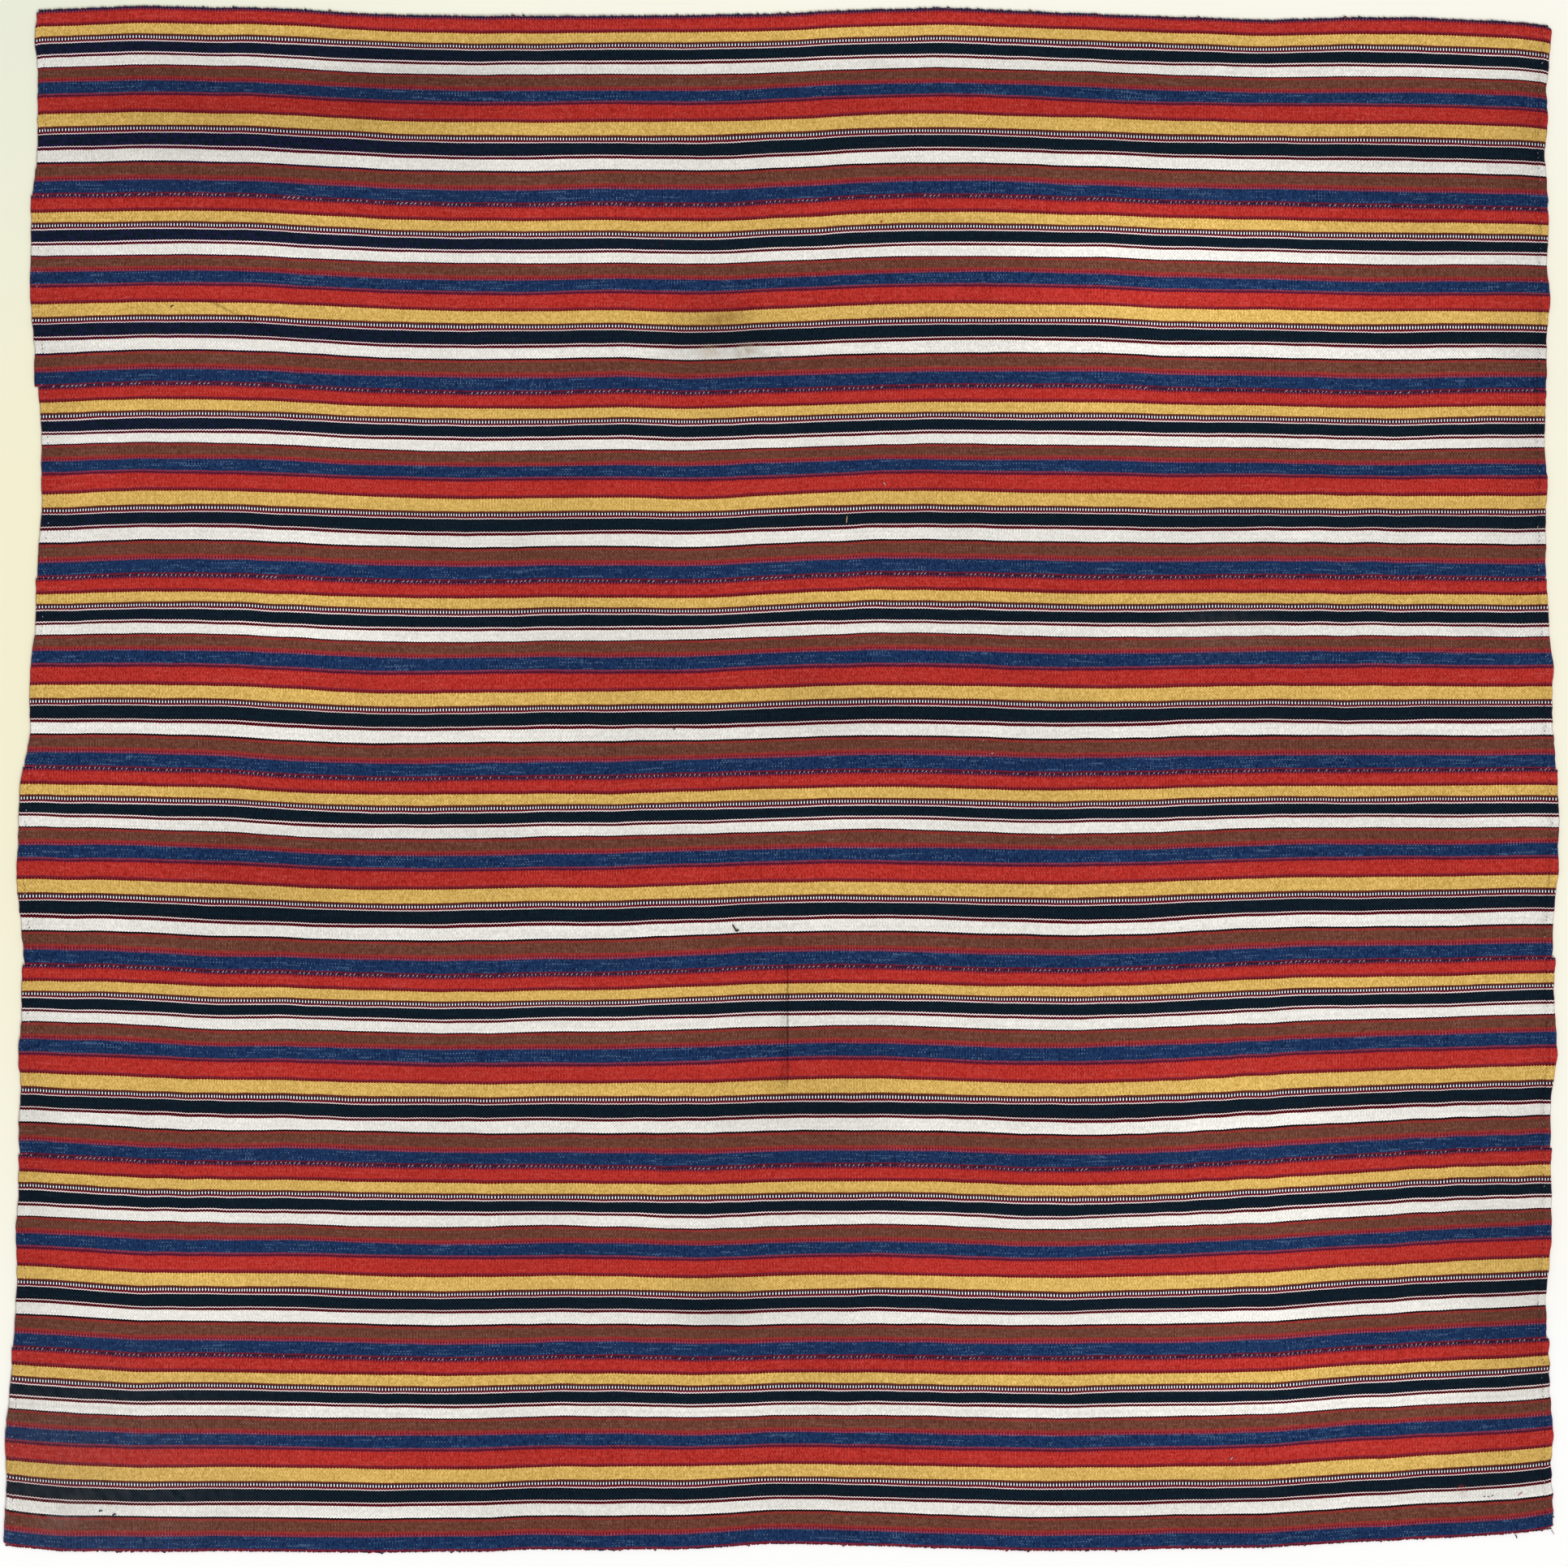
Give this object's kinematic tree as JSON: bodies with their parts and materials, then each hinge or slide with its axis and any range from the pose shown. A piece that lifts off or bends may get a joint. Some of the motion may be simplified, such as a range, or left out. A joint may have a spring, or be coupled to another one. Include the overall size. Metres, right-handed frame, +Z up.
{
  "type": "jajim rug",
  "caption": "Flat striped flatwoven wool rug, made of narrow warp-faced bands sewn side by side, with narrow turned hems at both ends. It lies on a floor.",
  "frame": {"origin": "on the floor, under the middle of the rug's outline", "axes": "+X along the warps and stripes, +Y from the last band towards the first, +Z up from the floor through the cloth"},
  "size_m": [1.918, 1.9048, 0.004],
  "materials": {
    "wool_stripes": "matte warp-faced wool in red, yellow, black, white, brown and blue stripes",
    "sewing_thread": "matte twisted wool thread"
  },
  "bodies": {
    "root": {"panel_1": "wool_stripes", "panel_2": "wool_stripes", "panel_3": "wool_stripes", "panel_4": "wool_stripes", "panel_5": "wool_stripes", "panel_6": "wool_stripes", "panel_7": "wool_stripes", "panel_8": "wool_stripes"}
  },
  "joints": []
}
